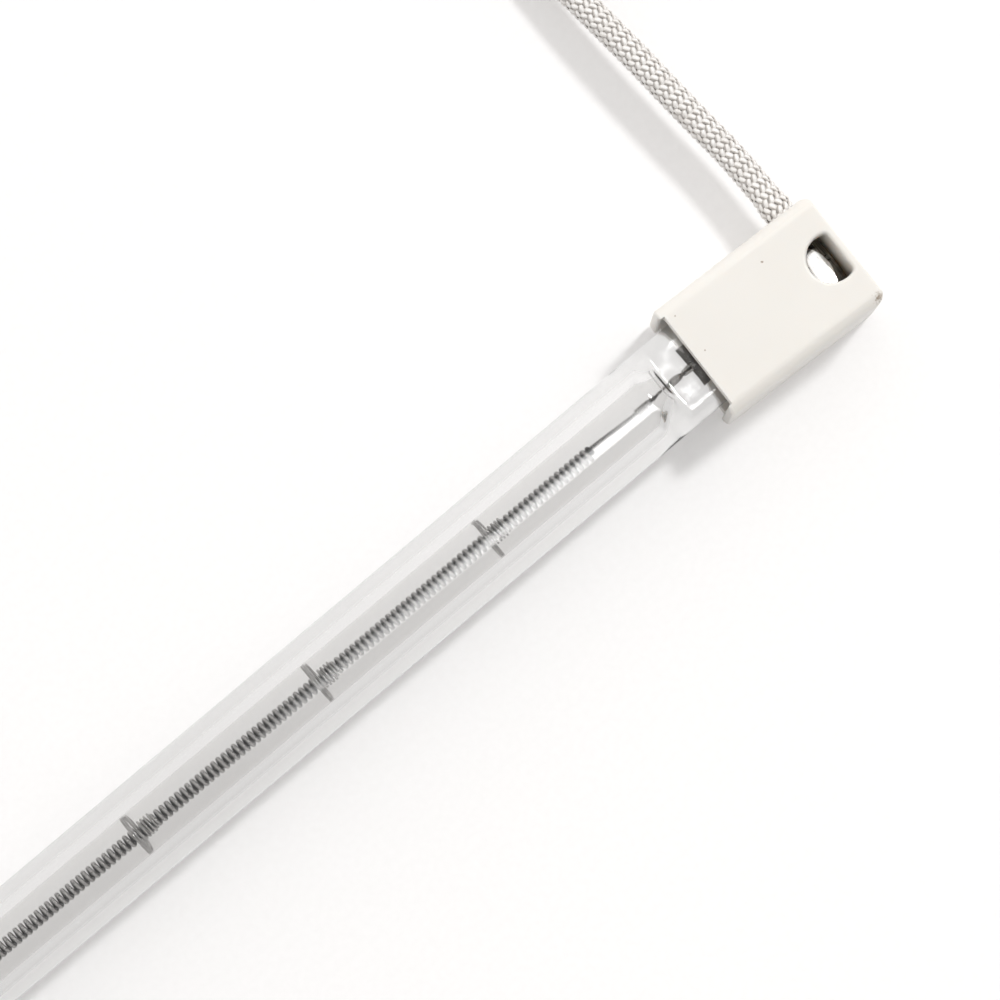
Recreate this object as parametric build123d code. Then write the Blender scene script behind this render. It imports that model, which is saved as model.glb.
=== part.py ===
"""Quartz heating tube: a sealed quartz lamp with a coiled filament, ceramic end caps and a braided lead.

Millimetres. X runs along the tube towards the end with the lead, Y is the way that the lead leaves its cap
and Z is up. The origin is midway between the two caps, on the surface that they stand on.
"""
import math
import os

from build123d import *

# Quartz tube
TUBE_OD = 10.0
BORE_D = 5.0
BORE_LENGTH = 166.0
BORE_DOME = 1.4
PINCH_THICKNESS = 6.0
PINCH_SHOULDER = 3.4
PINCH_FLAT_AFTER_BORE = 0.8
PRESS_MARK_WIDTH = 5.6
PRESS_MARK_DEPTH = 0.3
PRESS_MARK_START = 1.6
TIP_X = -23.5
TIP_BASE_D = 3.4
TIP_END_D = 0.9
TIP_HEIGHT = 1.9

# Filament: an open coil with a close-wound tail at each end
COIL_PITCH = 0.69
COIL_OD = 1.7
FILAMENT_WIRE = 0.42
COIL_SIDES = 6
TAIL_OD = 0.75
TAIL_LENGTH = 10.25
TAIL_CLEARANCE = 0.01
TAIL_SLEEVE_OD = 1.0
TAIL_SLEEVE_LENGTH = 3.5
TAIL_OVERLAP = 0.45
TAIL_END_GAP = 0.3

# Filament supports, evenly spaced apart from those that sit a little off their place
SUPPORT_COUNT = 6
SUPPORT_SPACING = 23.5
SUPPORT_SHIFTS = {5: 0.55}
SUPPORT_WIRE = 0.26
SUPPORT_CLEARANCE = 0.03
SUPPORT_RING_TURNS = 2.25
SUPPORT_RING_PITCH = 0.36
SUPPORT_INRUN_TURNS = 0.75
SUPPORT_GRIP_TURNS = 4.0
SUPPORT_GRIP_PITCH = 0.42
SUPPORT_RING_SIDES = 12
SUPPORT_GRIP_SIDES = 8

# Lead-throughs in the press seals
INNER_LEAD_D = 0.42
INNER_LEAD_BULB_D = 0.9
INNER_LEAD_BULB_LENGTH = 2.3
PADDLE_WIDTH = 0.9
PADDLE_THICKNESS = 0.2
PADDLE_LENGTH = 1.6
FOIL_AFTER_BORE = 3.2
FOIL_LENGTH = 8.0
FOIL_WIDTH = 4.8
FOIL_THICKNESS = 0.06
GLASS_AFTER_FOIL = 1.3
OUTER_PIN_D = 0.8
OUTER_PIN_OVERLAP = 2.2
OUTER_PIN_BEND = 1.2
OUTER_PIN_STRAIGHT = 1.2
OUTER_PIN_MARGIN = 0.1
OUTER_PIN_IN_SLEEVE = 2.2

# Ceramic caps
CAP_LENGTH = 20.0
CAP_STAND = 0.2
CAP_AFTER_BORE = 3.45
CAP_SKEW = -2.5
CAP_SHIFT = -0.1
CAP_WALL = 1.15
CAP_END_WALL = 0.9
CAP_EDGE = 1.5
CAP_CORNER = 1.2
CAP_END_EDGE = 0.3
CAP_NOTCH = 0.6
CAP_MOUTH_EDGE = 0.35
CAVITY_CORNER = 0.8
WINDOW_WIDTH = 5.2
WINDOW_LENGTH = 3.7
WINDOW_CORNER = 0.5
WINDOW_LIP = 0.35
SEAL_SIDE_GAP = 0.65
SEAL_FACE_GAP = 0.6
CEMENT_START = 3.0
CEMENT_LENGTH = 9.0

# Crimp sleeve and lead
SLEEVE_OD = 4.0
SLEEVE_END_D = 3.6
SLEEVE_BORE = 1.7
SLEEVE_LENGTH = 5.8
SLEEVE_END_GAP = 0.1
DENT_SIZE = 0.7
DENT_DEPTH = 0.35
DENT_Y = 0.7
DENT_TURN = 40.0
CONDUCTOR_CLEARANCE = 0.02
CONDUCTOR_IN_SLEEVE = 2.4
LEAD_D = 3.0
LEAD_IN_CAP = 2.2
OUTLET_FROM_END = 2.5
OUTLET_CLEARANCE = 0.15
OUTLET_LIP = 0.3
RIM_TOLERANCE = 0.001

# The lead's free route from its cap to the coil, and the coil that holds the rest of it
LEAD_ROUTE = [
    (104.5, 12.0, 5.2),
    (104.6, 21.0, 6.0),
    (104.2, 30.0, 6.5),
    (103.2, 38.5, 5.6),
    (102.5, 46.0, 3.6),
    (102.2, 52.5, 2.0),
]
LEAD_COIL_CENTRE = (118.2, 59.0)
LEAD_COIL_MID_D = 32.0
LEAD_COIL_LAYERS = 2
ARC_SHARE = 0.45
TIE_WIDTH = 3.0
TIE_THICKNESS = 0.5
TIE_ANGLE = 20.0
TIE_FOOT = 0.6
FERRULE_D = 1.9
FERRULE_LENGTH = 8.0
FERRULE_ANGLE = 196.0
FERRULE_RIM = 0.25

# Values that follow from those above
CAP_WIDTH = TUBE_OD + 2 * (SEAL_SIDE_GAP + CAP_WALL)
CAP_HEIGHT = TUBE_OD + 2 * CAP_STAND
CAP_PLATE = (CAP_HEIGHT - PINCH_THICKNESS) / 2 - SEAL_FACE_GAP
AXIS_Z = CAP_HEIGHT / 2
BORE_END = BORE_LENGTH / 2
PINCH_LENGTH = FOIL_AFTER_BORE + FOIL_LENGTH + GLASS_AFTER_FOIL
PINCH_END = BORE_END + PINCH_LENGTH
COIL_LENGTH = BORE_LENGTH - 2 * TAIL_LENGTH
TAIL_BORE = INNER_LEAD_D + 2 * TAIL_CLEARANCE
FOIL_START = BORE_END + FOIL_AFTER_BORE
FOIL_TOP = AXIS_Z - PADDLE_THICKNESS / 2
CAP_MOUTH_X = BORE_END + CAP_AFTER_BORE
SLEEVE_U = CAP_LENGTH - CAP_END_WALL - SLEEVE_END_GAP - SLEEVE_OD / 2
LEAD_U = CAP_LENGTH - OUTLET_FROM_END
OUTER_PIN_SIDE = SLEEVE_LENGTH / 2 + OUTER_PIN_BEND + OUTER_PIN_MARGIN
CONDUCTOR_D = SLEEVE_BORE - 2 * CONDUCTOR_CLEARANCE
LEAD_START_Y = CAP_WIDTH / 2 - LEAD_IN_CAP
CAP_PLACE = Location((CAP_MOUTH_X, CAP_SHIFT, 0), (0, 0, CAP_SKEW))
OTHER_END = Rot(0, 0, 180)


def across(x):
    """The plane square to the tube at x, with its own x along Y and its own y along Z."""
    return Plane(origin=(x, 0, AXIS_Z), x_dir=(0, 1, 0), z_dir=(1, 0, 0))


def cap_point(u, y, z=AXIS_Z):
    """A point given in the cap's own frame, u from its mouth, as a point of the part."""
    return (CAP_PLACE * Pos(u, y, z)).position


def corner(x, angle, radius):
    """A point at an angle and radius about the tube's axis."""
    return Vector(x, radius * math.cos(angle), AXIS_Z + radius * math.sin(angle))


def faceted_wire(path, size):
    """A wire of three-cornered section along (x, angle, radius) points that turn about the tube's axis."""
    rings = [
        [
            corner(x - size / 2, angle, radius + size / 2),
            corner(x + size / 2, angle, radius + size / 2),
            corner(x, angle, radius - size / 2),
        ]
        for x, angle, radius in path
    ]
    facets = [rings[0], rings[-1]]
    for near, far in zip(rings, rings[1:]):
        facets.append([near[0], near[1], far[1], far[0]])
        for i, j in ((1, 2), (2, 0)):
            facets += [[near[i], near[j], far[j]], [near[i], far[j], far[i]]]
    return Solid(Shell([Face(Wire.make_polygon(points)) for points in facets]))


def turns(x, angle, radius, count, pitch, sides, radius_after=None):
    """Points along a number of turns, from x and angle on, on to another radius if one is given."""
    steps = round(count * sides)
    drift = 0 if radius_after is None else radius_after - radius
    return [
        (x + pitch * k / sides, angle + math.tau * k / sides, radius + drift * k / steps)
        for k in range(steps + 1)
    ]


def main_coil():
    """The open coil, with its last half turn at each end drawn in to the tail."""
    radius = COIL_OD / 2 - FILAMENT_WIRE / 2
    tail_radius = TAIL_OD / 2 - FILAMENT_WIRE / 2
    count = round(COIL_LENGTH / COIL_PITCH * COIL_SIDES) / COIL_SIDES
    path = turns(-COIL_LENGTH / 2, 0, radius, count, COIL_LENGTH / count, COIL_SIDES)
    draw_in = COIL_SIDES // 2
    last = len(path) - 1
    shaped = []
    for k, (x, angle, r) in enumerate(path):
        share = min(1.0, min(k, last - k) / draw_in)
        shaped.append((x, angle, tail_radius + (r - tail_radius) * share))
    return faceted_wire(shaped, FILAMENT_WIRE)


def filament_tail():
    """The close-wound tail beyond the main coil, thicker where it is wound over the inner lead."""
    start = COIL_LENGTH / 2 - TAIL_OVERLAP
    end = BORE_END - TAIL_END_GAP
    sleeve_start = end - TAIL_SLEEVE_LENGTH
    thin = Circle(TAIL_OD / 2) - Circle(TAIL_BORE / 2)
    thick = Circle(TAIL_SLEEVE_OD / 2) - Circle(TAIL_BORE / 2)
    tail = extrude(across(start) * thin, sleeve_start - start)
    return tail + extrude(across(sleeve_start) * thick, end - sleeve_start)


def filament():
    tail = filament_tail()
    return main_coil() + tail + OTHER_END * tail


def support_x(number):
    """Where a support's ring starts; the supports are spaced about the middle of the tube."""
    middle = (SUPPORT_COUNT + 1) / 2
    return (number - middle) * SUPPORT_SPACING + SUPPORT_SHIFTS.get(number, 0.0)


def filament_support(number):
    """A wire wound to a ring in the bore, then inwards to a few turns that grip the coil."""
    half_wire = SUPPORT_WIRE / 2
    ring_radius = BORE_D / 2 - SUPPORT_CLEARANCE - half_wire
    flat = math.cos(math.pi / SUPPORT_GRIP_SIDES)
    grip_radius = (COIL_OD / 2 + SUPPORT_CLEARANCE) / flat + half_wire
    path = turns(
        support_x(number), 0, ring_radius, SUPPORT_RING_TURNS, SUPPORT_RING_PITCH, SUPPORT_RING_SIDES
    )
    for radius, count, pitch, sides in (
        (ring_radius, SUPPORT_INRUN_TURNS, SUPPORT_RING_PITCH, SUPPORT_GRIP_SIDES),
        (grip_radius, SUPPORT_GRIP_TURNS, SUPPORT_GRIP_PITCH, SUPPORT_GRIP_SIDES),
    ):
        x, angle, _ = path[-1]
        path += turns(x, angle, radius, count, pitch, sides, grip_radius)[1:]
    return faceted_wire(path, SUPPORT_WIRE)


def inner_lead():
    """The wire from the tail into the seal, with its bulb in the glass and its flattened, welded end."""
    start = BORE_END - TAIL_END_GAP - TAIL_SLEEVE_LENGTH
    bulb_start = BORE_END + PINCH_FLAT_AFTER_BORE - INNER_LEAD_BULB_LENGTH / 4
    bulb_end = bulb_start + INNER_LEAD_BULB_LENGTH
    wire_end = FOIL_START + PADDLE_LENGTH / 2
    radius = INNER_LEAD_D / 2
    outline = Polyline((start, 0), (start, radius), (bulb_start, radius))
    middle = ((bulb_start + bulb_end) / 2, INNER_LEAD_BULB_D / 2)
    outline += ThreePointArc((bulb_start, radius), middle, (bulb_end, radius))
    outline += Polyline((bulb_end, radius), (wire_end, radius), (wire_end, 0), (start, 0))
    wire = Pos(0, 0, AXIS_Z) * revolve(make_face(outline), Axis.X)
    below_foil = Pos(FOIL_START, 0, FOIL_TOP) * Box(
        PADDLE_LENGTH, INNER_LEAD_D * 2, INNER_LEAD_D, align=(Align.MIN, Align.CENTER, Align.MAX)
    )
    paddle = Pos(FOIL_START, 0, FOIL_TOP) * Box(
        PADDLE_LENGTH, PADDLE_WIDTH, PADDLE_THICKNESS, align=(Align.MIN, Align.CENTER, Align.MIN)
    )
    return wire - below_foil + paddle


def seal_foil():
    return Pos(FOIL_START, 0, FOIL_TOP) * Box(
        FOIL_LENGTH, FOIL_WIDTH, FOIL_THICKNESS, align=(Align.MIN, Align.CENTER, Align.MAX)
    )


def outer_pin():
    """The pin from the foil out of the glass, bent round into the crimp sleeve from its closed side."""
    foil_end = FOIL_START + FOIL_LENGTH
    start = foil_end - OUTER_PIN_OVERLAP
    turn_in = cap_point(LEAD_U, -OUTER_PIN_SIDE)
    side_step = cap_point(LEAD_U - 2.5 * OUTER_PIN_BEND, -OUTER_PIN_SIDE)
    sleeve_mouth = cap_point(LEAD_U, OUTER_PIN_IN_SLEEVE - SLEEVE_LENGTH / 2)
    path = FilletPolyline(
        (start, 0, AXIS_Z),
        (PINCH_END + OUTER_PIN_STRAIGHT, 0, AXIS_Z),
        side_step,
        turn_in,
        sleeve_mouth,
        radius=OUTER_PIN_BEND,
    )
    pin = sweep(across(start) * Circle(OUTER_PIN_D / 2), path=path)
    below_foil = Pos(start, 0, FOIL_TOP) * Box(
        OUTER_PIN_OVERLAP, OUTER_PIN_D * 2, OUTER_PIN_D, align=(Align.MIN, Align.CENTER, Align.MAX)
    )
    return pin - below_foil


def jaw_cut():
    """What the upper press jaw takes off one end of the round tube, with the mark of its raised middle."""
    flat_x = BORE_END + PINCH_FLAT_AFTER_BORE
    round_x = flat_x - PINCH_SHOULDER
    mid_x = (round_x + flat_x) / 2
    top = TUBE_OD / 2
    flat = PINCH_THICKNESS / 2
    mid = (top + flat) / 2
    reach = PINCH_END + PINCH_LENGTH
    edge = Spline((round_x, top), (mid_x, mid), (flat_x, flat), tangents=((1, 0), (1, 0)))
    edge += Polyline((flat_x, flat), (reach, flat), (reach, top * 2), (round_x, top * 2), (round_x, top))
    side = Plane(origin=(0, 0, AXIS_Z), x_dir=(1, 0, 0), z_dir=(0, -1, 0))
    jaw = extrude(side * make_face(edge), TUBE_OD, both=True)
    mark_start = flat_x + PRESS_MARK_START
    mark = Polyline(
        (mark_start - PRESS_MARK_DEPTH, flat + PRESS_MARK_DEPTH),
        (mark_start + PRESS_MARK_DEPTH, flat - PRESS_MARK_DEPTH),
        (reach, flat - PRESS_MARK_DEPTH),
        (reach, flat + PRESS_MARK_DEPTH),
        close=True,
    )
    return jaw + extrude(side * make_face(mark), PRESS_MARK_WIDTH / 2, both=True)


def bore():
    """The sealed space inside the tube, with its rounded ends."""
    radius = BORE_D / 2
    straight = BORE_END - BORE_DOME
    half = make_face(
        Polyline((-BORE_END, 0), (BORE_END, 0))
        + EllipticalCenterArc((straight, 0), BORE_DOME, radius, 0, arc_size=90)
        + Line((straight, radius), (-straight, radius))
        + EllipticalCenterArc((-straight, 0), BORE_DOME, radius, 90, arc_size=90)
    )
    return Pos(0, 0, AXIS_Z) * revolve(half, Axis.X)


def exhaust_tip():
    """The sealed-off stub through which the tube was pumped, on the side away from the lead."""
    root = TUBE_OD / 2 - TIP_BASE_D / 4
    height = TUBE_OD / 2 + TIP_HEIGHT - root
    outline = Polyline((0, 0), (TIP_BASE_D / 2, 0), (TIP_END_D / 2, height - TIP_END_D / 2))
    outline += ThreePointArc(
        (TIP_END_D / 2, height - TIP_END_D / 2),
        (TIP_END_D / 2 * math.sin(math.pi / 4), height - TIP_END_D / 2 * (1 - math.cos(math.pi / 4))),
        (0, height),
    )
    outline += Line((0, height), (0, 0))
    stub = revolve(make_face(outline), Axis.Y)
    return Location((TIP_X, -root, AXIS_Z), (0, 0, 180)) * stub


def quartz_tube(sealed_in):
    """The tube with both ends pressed flat round the pieces sealed into them."""
    glass = extrude(across(-PINCH_END) * Circle(TUBE_OD / 2), PINCH_END * 2)
    upper = jaw_cut()
    lower = Pos(0, 0, AXIS_Z) * Rot(180, 0, 0) * Pos(0, 0, -AXIS_Z) * upper
    for jaw in (upper, lower):
        glass = glass - jaw - OTHER_END * jaw
    glass = glass + exhaust_tip() - bore()
    for piece in sealed_in:
        glass -= piece
    return glass


def cavity():
    """The hollow of a cap, from its mouth to its end wall, in the cap's own frame."""
    section = RectangleRounded(CAP_WIDTH - 2 * CAP_WALL, CAP_HEIGHT - 2 * CAP_PLATE, CAVITY_CORNER)
    return section, CAP_LENGTH - CAP_END_WALL


def window():
    """The D-shaped window in the cap's top, its straight side in line with the end wall's inner face."""
    straight_u = CAP_LENGTH - CAP_END_WALL
    round_u = straight_u - WINDOW_LENGTH + WINDOW_WIDTH / 2
    shape = Pos(round_u, 0) * Circle(WINDOW_WIDTH / 2)
    shape &= Pos(straight_u, 0) * Rectangle(
        WINDOW_LENGTH, WINDOW_WIDTH, align=(Align.MAX, Align.CENTER)
    )
    return fillet(shape.vertices().sort_by(Axis.X)[-2:], WINDOW_CORNER)


def rounded_end(width, radius):
    """The cap's outline from above or from the side: square at its mouth, rounded at its closed end."""
    outline = Rectangle(CAP_LENGTH, width, align=(Align.MIN, Align.CENTER))
    return fillet(outline.vertices().sort_by(Axis.X)[-2:], radius)


def end_cap():
    """The ceramic cap: a shell whose side walls stand a little out of its mouth, with a window and an outlet."""
    block = extrude(across(0) * RectangleRounded(CAP_WIDTH, CAP_HEIGHT, CAP_EDGE), CAP_LENGTH)
    block &= extrude(rounded_end(CAP_WIDTH, CAP_CORNER), CAP_HEIGHT)
    side = Plane(origin=(0, 0, AXIS_Z), x_dir=(1, 0, 0), z_dir=(0, -1, 0))
    block &= extrude(side * rounded_end(CAP_HEIGHT, CAP_END_EDGE), CAP_WIDTH, both=True)
    section, depth = cavity()
    cap = block - extrude(across(0) * section, depth)
    cap -= Pos(0, 0, AXIS_Z) * Box(2 * CAP_NOTCH, CAP_WIDTH - 2 * CAP_WALL, CAP_HEIGHT)
    wall_ends = cap.faces().filter_by(Axis.X).sort_by(Axis.X)[:2]
    cap = fillet(wall_ends.edges(), CAP_MOUTH_EDGE)
    cap -= extrude(Pos(0, 0, CAP_HEIGHT) * window(), -2 * CAP_PLATE)
    top = cap.faces().filter_by(Plane.XY).sort_by(Axis.Z)[-1]
    cap = fillet(top.inner_wires()[0].edges(), WINDOW_LIP)
    outlet = Plane(origin=(LEAD_U, CAP_WIDTH / 2, AXIS_Z), x_dir=(1, 0, 0), z_dir=(0, 1, 0))
    hole_radius = LEAD_D / 2 + OUTLET_CLEARANCE
    cap -= extrude(outlet * Circle(hole_radius), -2 * CAP_WALL)
    rim = [
        edge
        for edge in cap.edges().filter_by_position(Axis.Y, CAP_WIDTH / 2 - CAP_WALL / 2, CAP_WIDTH / 2)
        if abs((edge @ 0.5 - outlet.origin).cross(outlet.z_dir).length - hole_radius) < RIM_TOLERANCE
    ]
    cap = fillet(rim, OUTLET_LIP)
    return CAP_PLACE * cap


def cement(inside):
    """The cement between the cap and the seal, short of the cap's mouth and of the crimp's chamber."""
    section, _ = cavity()
    fill = CAP_PLACE * extrude(across(CEMENT_START) * section, CEMENT_LENGTH)
    for piece in inside:
        fill -= piece
    return fill


def crimp_sleeve():
    """The crimped sleeve behind the window: a crowned barrel with its crimp mark, its bore facing the outlet."""
    end, half = SLEEVE_END_D / 2, SLEEVE_LENGTH / 2
    outline = Polyline((end, half), (0, half), (0, -half), (end, -half))
    outline += ThreePointArc((end, -half), (SLEEVE_OD / 2, 0), (end, half))
    sleeve = Pos(SLEEVE_U, 0, AXIS_Z) * revolve(make_face(outline), Axis.Y)
    start = Plane(origin=(LEAD_U, -half, AXIS_Z), x_dir=(1, 0, 0), z_dir=(0, 1, 0))
    sleeve -= extrude(start * Circle(SLEEVE_BORE / 2), SLEEVE_LENGTH)
    dent = Location((SLEEVE_U, DENT_Y, AXIS_Z), (0, DENT_TURN, 0)) * Pos(0, 0, SLEEVE_OD / 2 - DENT_DEPTH)
    sleeve -= dent * Box(DENT_SIZE, DENT_SIZE, SLEEVE_OD, align=(Align.CENTER, Align.CENTER, Align.MIN))
    return CAP_PLACE * sleeve


def lead_conductor():
    """The stranded conductor between the crimp sleeve and the end of the braid."""
    start_y = SLEEVE_LENGTH / 2 - CONDUCTOR_IN_SLEEVE
    start = Plane(origin=(LEAD_U, start_y, AXIS_Z), x_dir=(1, 0, 0), z_dir=(0, 1, 0))
    return CAP_PLACE * extrude(start * Circle(CONDUCTOR_D / 2), LEAD_START_Y - start_y)


def coil_section(grow=0.0):
    """The outline of the lead's stacked turns, on the floor, as a sketch about the coil's middle line."""
    radius = LEAD_D / 2 + grow
    height = LEAD_D * LEAD_COIL_LAYERS + 2 * grow
    section = Rectangle(2 * radius, height)
    section = chamfer(section.vertices(), radius * (2 - math.sqrt(2)))
    return Pos(LEAD_COIL_MID_D / 2, height / 2 - grow) * section


def lead_coil():
    ring = revolve(Plane.XZ * coil_section(), Axis.Z)
    return Pos(*LEAD_COIL_CENTRE, 0) * ring


def lead_tie():
    """A band round the coil's turns, open underneath, where they lie on the floor."""
    around = coil_section(TIE_THICKNESS) - coil_section()
    around &= Pos(LEAD_COIL_MID_D / 2, TIE_FOOT) * Rectangle(
        LEAD_D * 2, LEAD_D * (LEAD_COIL_LAYERS + 1), align=(Align.CENTER, Align.MIN)
    )
    swing = math.degrees(TIE_WIDTH / (LEAD_COIL_MID_D / 2))
    band = revolve(Plane.XZ * around, Axis.Z, swing)
    return Location((*LEAD_COIL_CENTRE, 0), (0, 0, TIE_ANGLE)) * band


def lead_ferrule():
    """The ferrule on the lead's free end, lying on the coil's top."""
    middle = LEAD_COIL_MID_D / 2
    angle = math.radians(FERRULE_ANGLE)
    x = LEAD_COIL_CENTRE[0] + middle * math.cos(angle)
    y = LEAD_COIL_CENTRE[1] + middle * math.sin(angle)
    z = LEAD_D * LEAD_COIL_LAYERS + FERRULE_D / 2 + FERRULE_RIM
    lies = Plane(origin=(x, y, z), x_dir=(0, 0, 1), z_dir=(-math.sin(angle), math.cos(angle), 0))
    barrel = extrude(lies * Circle(FERRULE_D / 2), FERRULE_LENGTH / 2, both=True)
    rim = lies.offset(-FERRULE_LENGTH / 2) * Circle(FERRULE_D / 2 + FERRULE_RIM)
    return barrel + extrude(rim, FERRULE_RIM * 4)


def braided_lead(coil):
    """The free stretch of the lead: straight runs joined by arcs as large as the runs allow."""
    points = [cap_point(LEAD_U, LEAD_START_Y)] + [Vector(*p) for p in LEAD_ROUTE]
    points.append(Vector(LEAD_COIL_CENTRE[0] - LEAD_COIL_MID_D / 2, LEAD_COIL_CENTRE[1], LEAD_D / 2))
    radii = []
    for before, here, after in zip(points, points[1:], points[2:]):
        turn = math.radians((here - before).get_angle(after - here))
        shorter = min((here - before).length, (after - here).length)
        radii.append(ARC_SHARE * shorter / math.tan(turn / 2))
    print("lead radii, mm:", [round(r, 1) for r in radii])
    path = FilletPolyline(*points, radius=radii)
    start = Plane(origin=points[0], z_dir=points[1] - points[0])
    lead = sweep(start * Circle(LEAD_D / 2), path=path)
    print("lead length, mm:", round(path.length, 2), "volume over section times length:",
          round(lead.volume / (math.pi * LEAD_D**2 / 4 * path.length), 4))
    return lead - coil


def write(name, piece):
    piece.label = name
    export_step(piece, f"parts/{name}.step")


def main():
    os.makedirs("parts", exist_ok=True)
    lead_in, foil, pin = inner_lead(), seal_foil(), outer_pin()
    sealed_in = [lead_in, foil, pin]
    tube = quartz_tube(sealed_in + [OTHER_END * piece for piece in sealed_in])
    write("quartz_tube", tube)
    write("filament", filament())
    for number in range(1, SUPPORT_COUNT + 1):
        write(f"filament_support_{number}", filament_support(number))
    both_ends = {
        "inner_lead": lead_in,
        "seal_foil": foil,
        "outer_pin": pin,
        "cement": cement([tube] + sealed_in),
        "end_cap": end_cap(),
        "crimp_sleeve": crimp_sleeve(),
    }
    for name, piece in both_ends.items():
        write(f"{name}_right", piece)
        write(f"{name}_left", OTHER_END * piece)
    coil = lead_coil()
    write("lead_conductor", lead_conductor())
    write("braided_lead", braided_lead(coil))
    write("lead_coil", coil)
    write("lead_tie", lead_tie())
    write("lead_ferrule", lead_ferrule())


main()
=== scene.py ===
"""The looks of a quartz heating tube: clear glass, wound filament, glazed caps, crimps and a braided lead.

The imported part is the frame: metres, X along the tube towards the lead, Y the way that the lead leaves, Z up.
Shapes are worked out in millimetres, and a piece is brought to metres when it is finished.
"""
import math

import bmesh
import bpy
from mathutils import Matrix, Vector, noise


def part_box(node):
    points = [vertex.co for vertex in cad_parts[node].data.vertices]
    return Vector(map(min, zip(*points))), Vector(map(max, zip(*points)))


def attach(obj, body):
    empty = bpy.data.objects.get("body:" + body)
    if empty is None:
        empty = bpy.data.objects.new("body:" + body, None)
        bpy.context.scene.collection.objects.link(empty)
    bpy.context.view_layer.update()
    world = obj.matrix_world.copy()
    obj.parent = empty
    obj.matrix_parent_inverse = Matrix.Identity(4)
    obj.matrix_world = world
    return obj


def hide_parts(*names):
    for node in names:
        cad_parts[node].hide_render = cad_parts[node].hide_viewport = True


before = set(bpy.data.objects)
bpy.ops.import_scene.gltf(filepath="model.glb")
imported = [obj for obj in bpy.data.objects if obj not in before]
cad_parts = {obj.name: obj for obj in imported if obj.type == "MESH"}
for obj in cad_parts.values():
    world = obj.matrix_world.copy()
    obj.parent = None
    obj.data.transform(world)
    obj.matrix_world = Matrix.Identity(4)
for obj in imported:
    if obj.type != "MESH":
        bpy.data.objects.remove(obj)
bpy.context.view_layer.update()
scene = bpy.context.scene

MM = 0.001
BODY = "root"
ENDS = {"right": 0.0, "left": math.pi}

# Sizes that the frame gives
tube_low, tube_high = (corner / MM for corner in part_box("quartz_tube"))
AXIS_Z = (tube_low.z + tube_high.z) / 2
TUBE_RADIUS = (tube_high.z - tube_low.z) / 2
TUBE_END = tube_high.x
SUPPORTS = [name for name in sorted(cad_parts) if name.startswith("filament_support_")]

# Glass
BORE_RADIUS = 2.5
BORE_END = 83.0
BORE_DOME = 0.8
BORE_DOME_POWER = 4.5
BORE_DOME_STEPS = 24
BORE_TAPER = 0.55
BORE_TAPER_START = 79.8
BORE_TAPER_STEP = 0.2
FLAT_HALF = 3.0
FLAT_START = 83.8
SHOULDER_LENGTH = (7.0, 4.2)
FLAT_BLEND = 1.0
MARK_START = 85.4
MARK_HALF_WIDTH = 2.3
MARK_DEPTH = 0.2
MARK_BLEND = 1.2
SATIN_FROM = FLAT_START - 3.5
SATIN_TO = FLAT_START + 1.0
SPECKLE = 8.0
WRINKLE_HEIGHT = 0.1
WRINKLE_MIDDLE = 83.6
WRINKLE_REACH = 2.6
WRINKLE_SCALE = (0.9, 0.55)
WRINKLE_SEED = 3.0
END_ROUNDING = 0.12
END_ROUNDING_LENGTH = 0.25
TIP_X = -23.5
TIP_RADIUS = 1.7
TIP_HEIGHT = 1.9
GLASS_SIDES = 128
GLASS_STEP = 2.0
GLASS_FINE_STEP = 0.12
GLASS_TIP_STEP = 0.16
GLASS_TIP_STEPS = 12
GLASS_END_STATIONS = (0.2, 0.06, 0.0)

# Filament
COIL_HALF = 72.75
COIL_PITCH = 0.69
COIL_RADIUS = 0.64
COIL_WIRE = 0.48
DRAW_IN_TURNS = 0.5
DRAW_IN_PITCH = 0.5
TAIL_WIRE = 0.16
TAIL_PITCH = 0.29
TAIL_RADIUS = 0.23
TAIL_CORE = 0.28
TAIL_END = 82.7
TAIL_LEAN = 0.32
TAIL_OVERLAP = 0.3
SLEEVE_START = 79.2
SLEEVE_RADIUS = 0.39
SLEEVE_WIRE = 0.24
SLEEVE_PITCH = 0.33

# Supports
SUPPORT_WIRE = 0.24
RING_RADIUS = 2.34
RING_TURNS = 2.0
RING_PITCH = 0.26
INRUN_TURNS = 0.4
INRUN_PITCH = 0.6
GRIP_RADIUS = 0.99
GRIP_TURNS = 4.0
GRIP_PITCH = 0.42

# Inner leads
LEAD_WIRE_RADIUS = 0.21
BULB_START = 83.2
BULB_END = 85.4
BULB_RADIUS = 0.42
BULB_STEPS = 16
INNER_LEAD_START = 79.3
INNER_LEAD_END = 86.5
LEAD_TIP = 0.6
WELD_START = 85.5
WELD_END = 87.2
WELD_HALF_WIDTH = 0.45
WELD_HALF_HEIGHT = 0.14
WELD_ROUGHNESS = 0.35
WELD_STEPS = 12
WELD_SIDES = 16

# Caps and crimps
CAP_MOUTH_X = 86.45
CAP_SHIFT = -0.1
CAP_SKEW = math.radians(-2.5)
LEAD_U = 17.5
CRIMP_U = 17.0
CRIMP_RADIUS = 2.0
CRIMP_HALF_HEIGHT = 1.85
CRIMP_SQUARENESS = 3.0
CRIMP_BORE = 0.86
CRIMP_HALF_LENGTH = 2.9
CRIMP_CROWN = 0.2
CRIMP_LIP = 0.25
CRIMP_LIP_DEPTH = 0.2
CRIMP_SIDES = 96
CRIMP_STEPS = 60
DENT_Y = 0.5
DENT_TURN = math.radians(43)
DENT_HALF = 0.36
DENT_DEPTH = 0.5
DENT_FLOOR = 0.6
# Where the crimp's painted dark reflection begins along the cap, and how its edge bends across the sleeve
DARK_REFLECTION_U = 18.1
DARK_REFLECTION_BEND = 0.14
# The hollow inside each cap, whose walls are painted dark as shade
CAVITY_HALF_WIDTH = 5.67
CAVITY_HALF_HEIGHT = 3.62
CAVITY_START = (9.0, 12.0)
CAVITY_END = 18.9
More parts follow.
